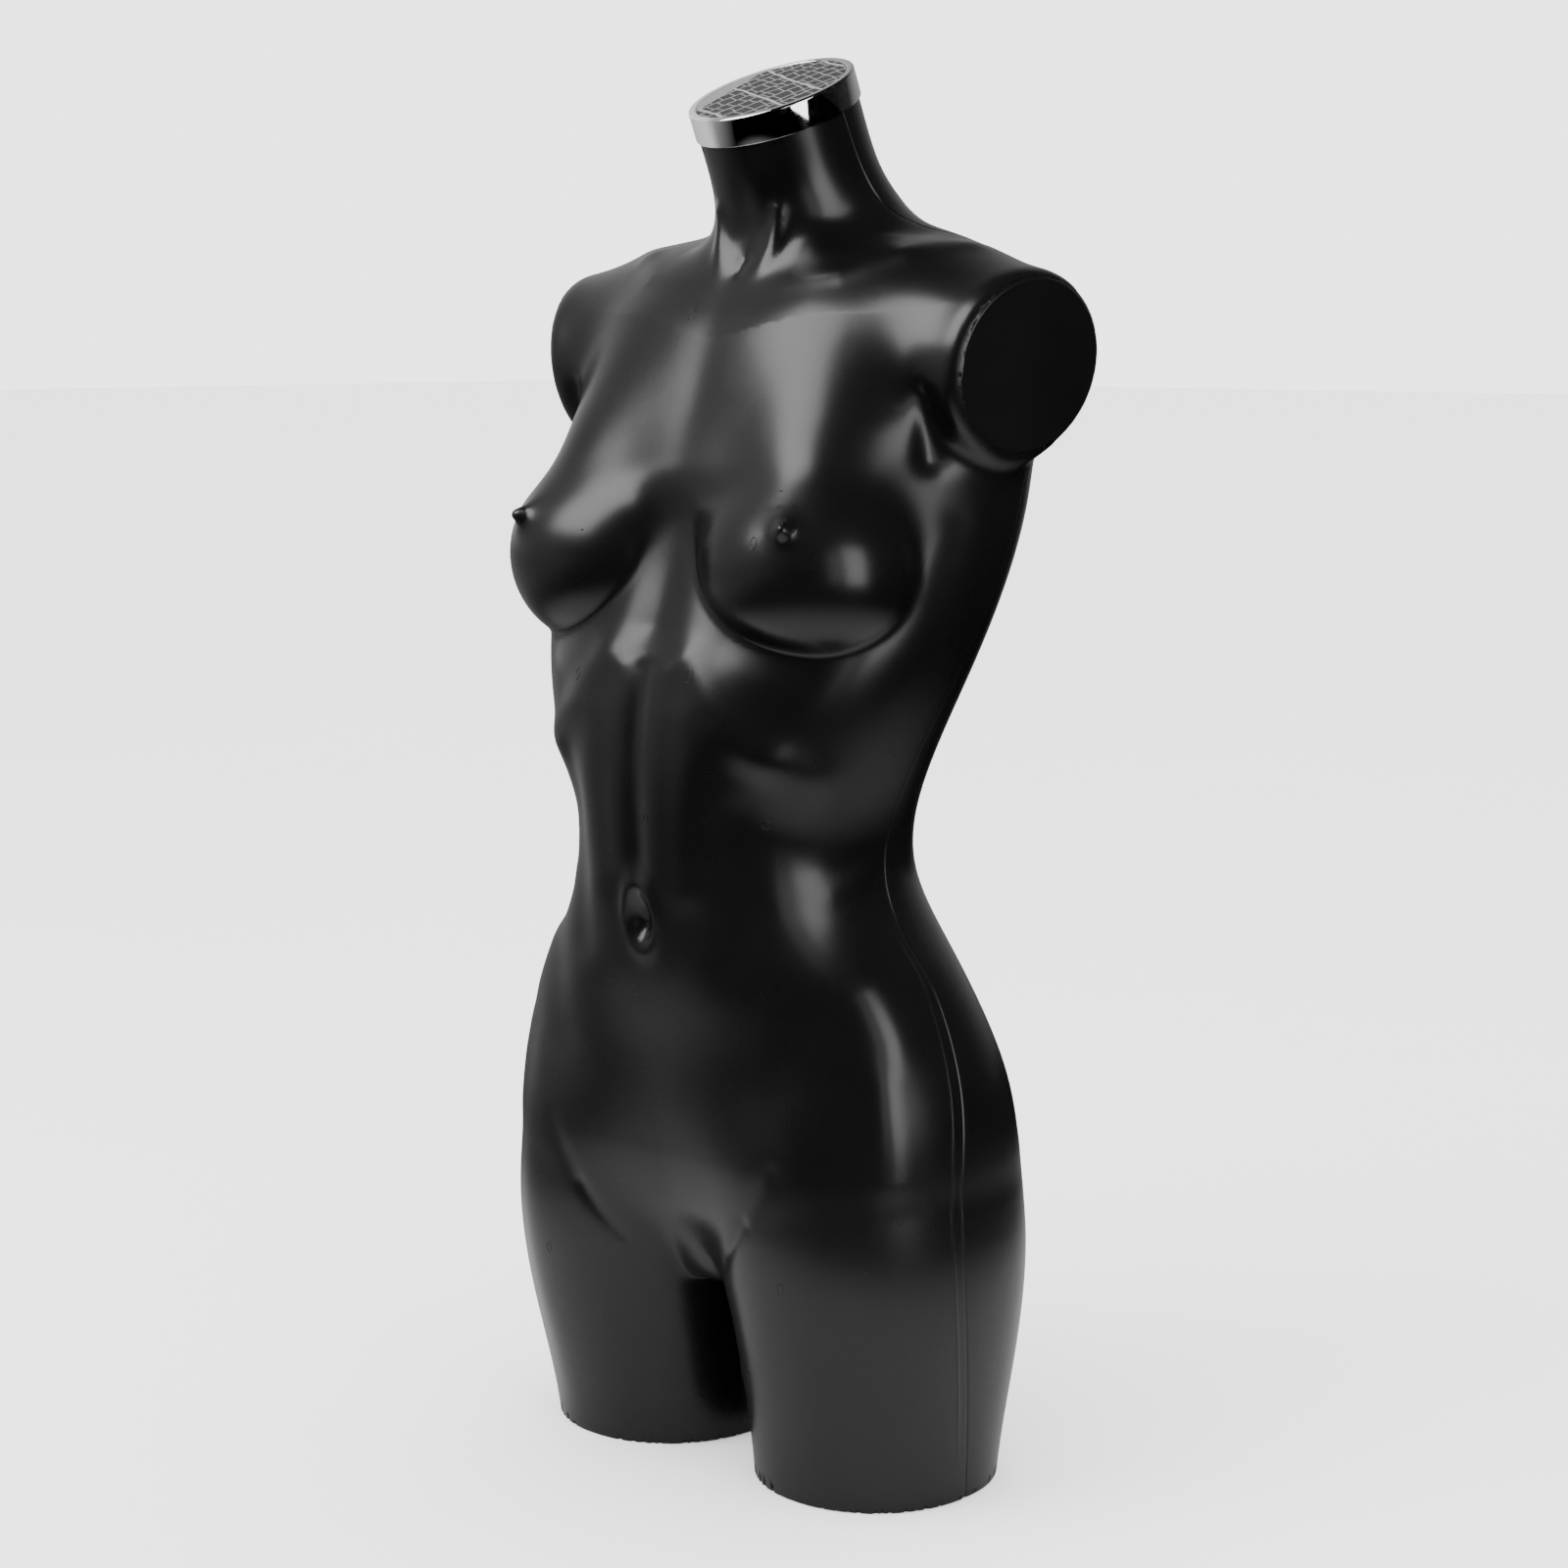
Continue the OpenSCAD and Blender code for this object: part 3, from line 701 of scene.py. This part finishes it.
def moulded_black(name, colour, roughness, pits=1.0):
    """Gloss moulded plastic: faint cloudy sheen, orange peel and a few tiny pits."""
    material, tree, shader = new_material(name)
    place = add(tree, "ShaderNodeTexCoord").outputs["Object"]
    cloud = add(tree, "ShaderNodeTexNoise", [("Vector", place)], Scale=9.0, Detail=4.0, Roughness=0.55)
    tint = ramp(tree, cloud.outputs["Fac"], ((0.3, tuple(0.75 * c for c in colour)), (0.7, tuple(colour))))
    tree.links.new(tint.outputs["Color"], shader.inputs["Base Color"])
    haze = map_range(tree, cloud.outputs["Fac"], 0.3, 0.7, roughness - 0.03, roughness + 0.03)
    tree.links.new(haze, shader.inputs["Roughness"])
    peel = add(tree, "ShaderNodeTexNoise", [("Vector", place)], Scale=420.0, Detail=2.0)
    waves = add(tree, "ShaderNodeTexNoise", [("Vector", place)], Scale=38.0, Detail=1.0)
    spots = add(tree, "ShaderNodeTexVoronoi", [("Vector", place)], Scale=72.0, Randomness=1.0)
    pit = map_range(tree, spots.outputs["Distance"], 0.03, 0.07, -1.0, 0.0)
    rare = add(tree, "ShaderNodeMath", [(0, spots.outputs["Color"])], operation="GREATER_THAN")
    rare.inputs[1].default_value = 0.86
    pitting = joined(tree, "MULTIPLY", pit, rare.outputs[0])
    fine = add(tree, "ShaderNodeBump", [("Height", peel.outputs["Fac"])], Strength=0.05, Distance=0.0003)
    swell = add(
        tree, "ShaderNodeBump", [("Height", waves.outputs["Fac"]), ("Normal", fine.outputs["Normal"])],
        Strength=0.06, Distance=0.002,
    )
    dots = add(
        tree, "ShaderNodeBump", [("Height", pitting), ("Normal", swell.outputs["Normal"])],
        Strength=0.5 * pits, Distance=0.0004,
    )
    tree.links.new(dots.outputs["Normal"], shader.inputs["Normal"])
    shader.inputs["IOR"].default_value = 1.5
    return material


def matt_black(name, shade=0.02):
    material, tree, shader = new_material(name)
    place = add(tree, "ShaderNodeTexCoord").outputs["Object"]
    grain = add(tree, "ShaderNodeTexNoise", [("Vector", place)], Scale=260.0, Detail=3.0)
    tint = ramp(tree, grain.outputs["Fac"], ((0.3, 0.6 * shade), (0.7, 1.3 * shade)))
    tree.links.new(tint.outputs["Color"], shader.inputs["Base Color"])
    bump = add(tree, "ShaderNodeBump", [("Height", grain.outputs["Fac"])], Strength=0.25, Distance=0.0003)
    tree.links.new(bump.outputs["Normal"], shader.inputs["Normal"])
    shader.inputs["Roughness"].default_value = 0.55
    return material


def metal(name, colour, roughness, brushed):
    material, tree, shader = new_material(name)
    place = add(tree, "ShaderNodeTexCoord").outputs["Object"]
    stretch = add(tree, "ShaderNodeMapping", [("Vector", place)])
    stretch.inputs["Scale"].default_value = (1, 1, 12) if brushed else (1, 1, 1)
    wear = add(tree, "ShaderNodeTexNoise", [("Vector", stretch.outputs[0])], Scale=120.0, Detail=3.0)
    tint = ramp(tree, wear.outputs["Fac"], ((0.25, tuple(0.88 * c for c in colour)), (0.75, tuple(colour))))
    tree.links.new(tint.outputs["Color"], shader.inputs["Base Color"])
    rough = ramp(tree, wear.outputs["Fac"], ((0.3, 0.7 * roughness), (0.7, 1.3 * roughness)))
    tree.links.new(rough.outputs["Color"], shader.inputs["Roughness"])
    shader.inputs["Metallic"].default_value = 1.0
    return material


def cap_chrome(colour):
    """Mirror chrome made part diffuse towards -X, so that side shows a light grey diffuse tone: a painted
    reflection.
    """
    material, tree, shader = new_material("cap_chrome")
    place = add(tree, "ShaderNodeTexCoord").outputs["Object"]
    sides = add(tree, "ShaderNodeSeparateXYZ", [("Vector", place)])
    # Painted reflection: metallic falls to 0.8 towards -X, so the diffuse chrome colour lights up on that
    # side.
    painted_reflection_side = map_range(tree, sides.outputs["X"], -0.014, -0.002, 0.8, 1.0, interpolation_type="SMOOTHSTEP")
    tree.links.new(painted_reflection_side, shader.inputs["Metallic"])
    wear = add(tree, "ShaderNodeTexNoise", [("Vector", place)], Scale=160.0, Detail=2.0)
    rough = ramp(tree, wear.outputs["Fac"], ((0.35, 0.03), (0.7, 0.09)))
    tree.links.new(rough.outputs["Color"], shader.inputs["Roughness"])
    shader.inputs["Base Color"].default_value = (*colour, 1)
    return material


def band_lines(tree, along, spacing, width, randomness):
    """Straight light lines at uneven spacing along one coordinate, and a random value for each band."""
    edge, cell = (
        add(
            tree, "ShaderNodeTexVoronoi", [("W", along)],
            voronoi_dimensions="1D", feature=feature, Scale=1 / spacing, Randomness=randomness,
        )
        for feature in ("DISTANCE_TO_EDGE", "F1")
    )
    inner, outer = 0.5 * width / spacing, 0.9 * width / spacing
    return map_range(tree, edge.outputs["Distance"], inner, outer, 1.0, 0.0), cell.outputs["Color"]


def scaled(tree, value, factor):
    node = add(tree, "ShaderNodeMath", [(0, value)], operation="MULTIPLY")
    node.inputs[1].default_value = factor
    return node.outputs[0]


def joined(tree, operation, a, b):
    return add(tree, "ShaderNodeMath", [(0, a), (1, b)], operation=operation).outputs[0]


def inlay_material(dark, light):
    """Dark disc printed with an uneven grid of light lines, and a plain segment beyond a chord."""
    material, tree, shader = new_material("cap_inlay_print")
    place = add(tree, "ShaderNodeTexCoord").outputs["Object"]
    turned = add(tree, "ShaderNodeMapping", [("Vector", place)], vector_type="TEXTURE")
    turned.inputs["Location"].default_value = Vector(NECK_TOP * MM)
    turned.inputs["Rotation"].default_value = (NECK_TILT, 0, 0)
    flat = turned.outputs["Vector"]
    drift = add(tree, "ShaderNodeTexNoise", [("Vector", flat)], Scale=40.0, Detail=1.0)
    shift = add(tree, "ShaderNodeVectorMath", [(0, drift.outputs["Color"])], operation="SCALE")
    shift.inputs["Scale"].default_value = 0.007
    bent = add(tree, "ShaderNodeVectorMath", [(0, flat), (1, shift.outputs[0])], operation="ADD")
    swung = add(tree, "ShaderNodeVectorRotate", [("Vector", bent.outputs[0])], rotation_type="Z_AXIS")
    swung.inputs["Angle"].default_value = math.radians(28)
    axes = add(tree, "ShaderNodeSeparateXYZ", [("Vector", swung.outputs[0])])
    streets, block = band_lines(tree, axes.outputs["X"], 0.0104, 0.0008, 0.8)
    offset = joined(tree, "ADD", axes.outputs["Y"], scaled(tree, block, 0.05))
    lanes, _ = band_lines(tree, offset, 0.0068, 0.0006, 0.9)
    avenues, _ = band_lines(tree, axes.outputs["Y"], 0.026, 0.0011, 0.7)
    net = joined(tree, "MAXIMUM", scaled(tree, streets, 0.75), scaled(tree, lanes, 0.55))
    net = joined(tree, "MAXIMUM", net, avenues)
    grain = add(tree, "ShaderNodeTexNoise", [("Vector", flat)], Scale=1400.0, Detail=2.0)
    ground = ramp(tree, grain.outputs["Fac"], ((0.35, 0.5 * dark), (0.65, 1.7 * dark)))
    tone = add(tree, "ShaderNodeMix", [("Factor", net)], data_type="RGBA")
    tree.links.new(ground.outputs["Color"], tone.inputs[6])
    tone.inputs[7].default_value = (light, light, light, 1)
    side = add(tree, "ShaderNodeSeparateXYZ", [("Vector", flat)])
    beyond = map_range(tree, side.outputs["X"], -0.0340, -0.0335, 1.0, 0.0)
    plain = add(tree, "ShaderNodeMix", [("Factor", beyond)], data_type="RGBA")
    tree.links.new(tone.outputs[2], plain.inputs[6])
    plain.inputs[7].default_value = (0.6 * light, 0.6 * light, 0.6 * light, 1)
    tree.links.new(plain.outputs[2], shader.inputs["Base Color"])
    shader.inputs["Roughness"].default_value = 0.45
    shader.inputs["Specular IOR Level"].default_value = 0.15
    return material


def floor_material(colour):
    material, tree, shader = new_material("studio_floor")
    place = add(tree, "ShaderNodeTexCoord").outputs["Object"]
    grain = add(tree, "ShaderNodeTexNoise", [("Vector", place)], Scale=3.0, Detail=2.0)
    tint = ramp(tree, grain.outputs["Fac"], ((0.3, tuple(0.99 * c for c in colour)), (0.7, tuple(colour))))
    tree.links.new(tint.outputs["Color"], shader.inputs["Base Color"])
    shader.inputs["Roughness"].default_value = 0.9
    # Painted shade in reflections: reflected rays see the floor mixed towards black, fully black far out and
    # a little less dark towards -X, so reflections show it only as a pale table close to the torso.
    far = add(tree, "ShaderNodeVectorMath", [(0, place)], operation="LENGTH")
    fade = map_range(tree, far.outputs["Value"], 0.32, 1.0, 0.66, 1.0, interpolation_type="SMOOTHSTEP")
    sides = add(tree, "ShaderNodeSeparateXYZ", [("Vector", place)])
    left = map_range(tree, sides.outputs["X"], -1.8, -0.5, 0.88, 1.0)
    dim = joined(tree, "MULTIPLY", fade, left)
    ray = add(tree, "ShaderNodeLightPath")
    painted_reflection_dark = joined(tree, "MULTIPLY", dim, ray.outputs["Is Glossy Ray"])
    # Black diffuse that the floor turns into for reflected rays: painted shade.
    shade = add(tree, "ShaderNodeBsdfDiffuse")
    shade.inputs["Color"].default_value = (0, 0, 0, 1)
    mix = add(tree, "ShaderNodeMixShader", [(0, painted_reflection_dark)])
    tree.links.new(shader.outputs[0], mix.inputs[1])
    tree.links.new(shade.outputs[0], mix.inputs[2])
    tree.links.new(mix.outputs[0], tree.nodes["Material Output"].inputs["Surface"])
    return material


def give(obj, material):
    obj.data.materials.clear()
    obj.data.materials.append(material)


def finish_node(name, material):
    """Sets the material of every slot of a CAD node."""
    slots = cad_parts[name].material_slots
    for slot in slots:
        slot.material = material
    if not slots:
        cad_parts[name].data.materials.append(material)


# ---- settings ----


class SkinSettings(bpy.types.PropertyGroup):
    cell: bpy.props.FloatProperty(
        name="Cell", description="Grid size of the skin, millimetres", default=3.0, min=1.5, max=12
    )
    strength: bpy.props.FloatProperty(
        name="Relief", description="Strength of the muscle and bone relief", default=1.0, min=0, max=2
    )
    colour: bpy.props.FloatVectorProperty(
        name="Colour", description="Plastic colour", default=(0.0009, 0.0009, 0.001), subtype="COLOR", size=3
    )
    roughness: bpy.props.FloatProperty(
        name="Roughness", description="Mean roughness of the gloss",
        default=0.27, min=0.05, max=0.9, subtype="FACTOR",
    )


class CapSettings(bpy.types.PropertyGroup):
    ground: bpy.props.FloatProperty(name="Ground", description="Shade between the lines", default=0.02)
    line: bpy.props.FloatProperty(name="Line", description="Shade of the printed lines", default=0.22)
    chrome: bpy.props.FloatVectorProperty(
        name="Chrome", description="Colour of the chrome band",
        default=(0.82, 0.82, 0.83), subtype="COLOR", size=3,
    )


class StageSettings(bpy.types.PropertyGroup):
    floor: bpy.props.FloatVectorProperty(
        name="Floor", description="Floor colour", default=(0.92, 0.92, 0.92), subtype="COLOR", size=3
    )
    key: bpy.props.FloatProperty(
        name="Key", description="Power of the overhead soft box, watts", default=50.0, min=0, unit="POWER"
    )
    side: bpy.props.FloatProperty(
        name="Side", description="Power of the side strip, watts", default=15.0, min=0, unit="POWER"
    )
    azimuth: bpy.props.FloatProperty(
        name="Azimuth", description="Camera's turn round the torso",
        default=math.radians(42), subtype="ANGLE",
    )


# ---- operators ----


class TORSO_OT_shells(bpy.types.Operator):
    """Builds the front and back moulded skins"""

    bl_idname = "torso.shells"
    bl_label = "Moulded shells"

    def execute(self, context):
        settings = context.scene.torso_skin
        cell = settings.cell
        material = moulded_black("body_gloss", settings.colour, settings.roughness)
        for skin, node in zip(build_skin(cell, settings.strength), ("front_shell", "back_shell")):
            give(skin, material)
            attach(skin, "torso")
            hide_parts(node)
        return {"FINISHED"}


class TORSO_OT_vent_marks(bpy.types.Operator):
    """Adds the raised ovals that the mould's vents left"""

    bl_idname = "torso.vent_marks"
    bl_label = "Vent marks"

    def execute(self, context):
        settings = context.scene.torso_skin
        marks = build_vent_marks(settings.strength)
        give(marks, moulded_black("vent_gloss", settings.colour, settings.roughness, 0.0))
        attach(marks, "torso")
        return {"FINISHED"}


class TORSO_OT_plates(bpy.types.Operator):
    """Finishes the arm ends, thigh plates and inner parts"""

    bl_idname = "torso.plates"
    bl_label = "Plates and inner parts"

    def execute(self, context):
        settings = context.scene.torso_skin
        plate = moulded_black("plate_gloss", settings.colour, settings.roughness + 0.04, 0.6)
        inner = matt_black("inner_matt")
        for name, side in (("arm_plate_left", 1), ("arm_plate_right", -1)):
            finish_node(name, plate)
            bead = build_arm_bead(name + "_bead", side)
            give(bead, plate)
            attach(bead, "torso")
        for name in (
            "thigh_plate_left", "thigh_plate_right", "seam_band_left", "seam_band_right",
            "neck_plug", "cap_spigot", "socket_bulkhead",
        ):
            finish_node(name, inner)
        return {"FINISHED"}


class TORSO_OT_fittings(bpy.types.Operator):
    """Finishes the pole socket, its screws and the clamp"""

    bl_idname = "torso.fittings"
    bl_label = "Stand fittings"

    def execute(self, context):
        steel = metal("zinc_steel", (0.56, 0.56, 0.58), 0.28, True)
        brass = metal("turned_brass", (0.72, 0.55, 0.26), 0.25, False)
        for name in (
            "stand_socket", "socket_screw_1", "socket_screw_2", "socket_screw_3",
            "clamp_block", "clamp_screw", "cap_screw",
        ):
            finish_node(name, steel)
        finish_node("clamp_shoe", brass)
        return {"FINISHED"}


class TORSO_OT_neck_cap(bpy.types.Operator):
    """Builds the chrome band and its patterned inlay"""

    bl_idname = "torso.neck_cap"
    bl_label = "Neck cap"

    def execute(self, context):
        settings = context.scene.torso_cap
        chrome = cap_chrome(settings.chrome)
        cap, inner = build_cap()
        for piece in (cap, inner):
            give(piece, chrome)
            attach(piece, "cap")
        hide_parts("neck_cap")
        inlay = build_inlay()
        give(inlay, inlay_material(settings.ground, settings.line))
        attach(inlay, "cap")
        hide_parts("cap_inlay")
        return {"FINISHED"}


def area_light(name, place, target, width, height, power):
    data = bpy.data.lights.new(name, "AREA")
    data.shape = "RECTANGLE"
    data.size, data.size_y, data.energy = width, height, power
    light = bpy.data.objects.new(name, data)
    light.location = place
    light.rotation_euler = (Vector(target) - Vector(place)).to_track_quat("-Z", "Y").to_euler()
    light.visible_camera = False
    bpy.context.scene.collection.objects.link(light)
    return light


def studio_world():
    """White backdrop and fill; reflections see it dark in front and dim behind."""
    world = bpy.data.worlds.new("studio")
    bpy.context.scene.world = world
    world.use_nodes = True
    tree = world.node_tree
    ground = tree.nodes["Background"]
    place = add(tree, "ShaderNodeTexCoord").outputs["Generated"]
    away = add(tree, "ShaderNodeVectorMath", [(0, place)], operation="DOT_PRODUCT")
    away.inputs[1].default_value = (-0.67, 0.74, 0.0)
    glow = ramp(tree, away.outputs["Value"], ((0.0, 0.008), (0.45, 0.03), (0.95, 0.4)))
    left = add(tree, "ShaderNodeVectorMath", [(0, place)], operation="DOT_PRODUCT")
    left.inputs[1].default_value = (-0.97, -0.2, 0.0)
    panel = ramp(tree, left.outputs["Value"], ((0.4, 0.0), (0.75, 0.45)))
    both = add(tree, "ShaderNodeMix", data_type="RGBA", blend_type="ADD")
    both.inputs[0].default_value = 1.0
    tree.links.new(glow.outputs["Color"], both.inputs[6])
    tree.links.new(panel.outputs["Color"], both.inputs[7])
    tree.links.new(both.outputs[2], ground.inputs["Color"])
    white = add(tree, "ShaderNodeBackground")
    white.inputs["Color"].default_value = (1, 1, 1, 1)
    white.inputs["Strength"].default_value = 3.2
    ray = add(tree, "ShaderNodeLightPath")
    mix = add(tree, "ShaderNodeMixShader", [(0, ray.outputs["Is Glossy Ray"])])
    tree.links.new(white.outputs[0], mix.inputs[1])
    tree.links.new(ground.outputs[0], mix.inputs[2])
    tree.links.new(mix.outputs[0], tree.nodes["World Output"].inputs["Surface"])


class TORSO_OT_stage(bpy.types.Operator):
    """Adds the floor, the lights, the backdrop and the camera"""

    bl_idname = "torso.stage"
    bl_label = "Stage"

    def execute(self, context):
        settings = context.scene.torso_stage
        size = 30.0
        square = ((-1, -1, 0), (1, -1, 0), (1, 1, 0), (-1, 1, 0))
        corners = np.array(square) * size / MM
        floor = make_mesh("floor", corners, np.array([(0, 1, 2, 3)]))
        floor.location.z = CAD_BOX[0][2] - 0.0005
        give(floor, floor_material(settings.floor))
        studio_world()
        chest, middle = (0, 0, 0.5), (0, 0, 0.4)
        area_light("key_box", (-0.66, -1.5, 2.1), chest, 1.35, 1.6, settings.key)
        area_light("side_strip", (1.97, -0.42, 0.75), middle, 0.8, 1.4, settings.side)
        area_light("side_card", (1.7, -1.15, 0.7), middle, 0.35, 1.2, 0.12 * settings.side)
        camera_data = bpy.data.cameras.new("camera")
        camera_data.lens = 69.3
        camera_data.sensor_width = 36
        camera_data.shift_x = 0.015625
        camera = bpy.data.objects.new("camera", camera_data)
        target = Vector((0, -0.013, 0.431))
        distance, eye = 1.88, 0.714
        turn = settings.azimuth
        camera.location = (distance * math.sin(turn), target.y - distance * math.cos(turn), eye)
        camera.rotation_euler = (target - camera.location).to_track_quat("-Z", "Y").to_euler()
        context.scene.collection.objects.link(camera)
        context.scene.camera = camera
        return {"FINISHED"}


class TORSO_PT_panel(bpy.types.Panel):
    """Lists the pieces of the torso"""

    bl_label = "Display torso"
    bl_idname = "TORSO_PT_panel"
    bl_space_type = "VIEW_3D"
    bl_region_type = "UI"
    bl_category = "Torso"

    def draw(self, context):
        for operator in OPERATORS:
            self.layout.operator(operator.bl_idname)
        for group in ("torso_skin", "torso_cap", "torso_stage"):
            settings = getattr(context.scene, group)
            for name in settings.__annotations__:
                self.layout.prop(settings, name)


OPERATORS = (
    TORSO_OT_shells, TORSO_OT_vent_marks, TORSO_OT_plates,
    TORSO_OT_fittings, TORSO_OT_neck_cap, TORSO_OT_stage,
)
GROUPS = {"torso_skin": SkinSettings, "torso_cap": CapSettings, "torso_stage": StageSettings}


def register():
    for cls in (*GROUPS.values(), *OPERATORS, TORSO_PT_panel):
        bpy.utils.register_class(cls)
    for name, cls in GROUPS.items():
        setattr(bpy.types.Scene, name, bpy.props.PointerProperty(type=cls))


def unregister():
    for name in GROUPS:
        delattr(bpy.types.Scene, name)
    for cls in (TORSO_PT_panel, *reversed(OPERATORS), *GROUPS.values()):
        bpy.utils.unregister_class(cls)


def main():
    register()
    bpy.ops.torso.shells()
    bpy.ops.torso.vent_marks()
    bpy.ops.torso.plates()
    bpy.ops.torso.fittings()
    bpy.ops.torso.neck_cap()
    bpy.ops.torso.stage()


if __name__ == "__main__":
    main()
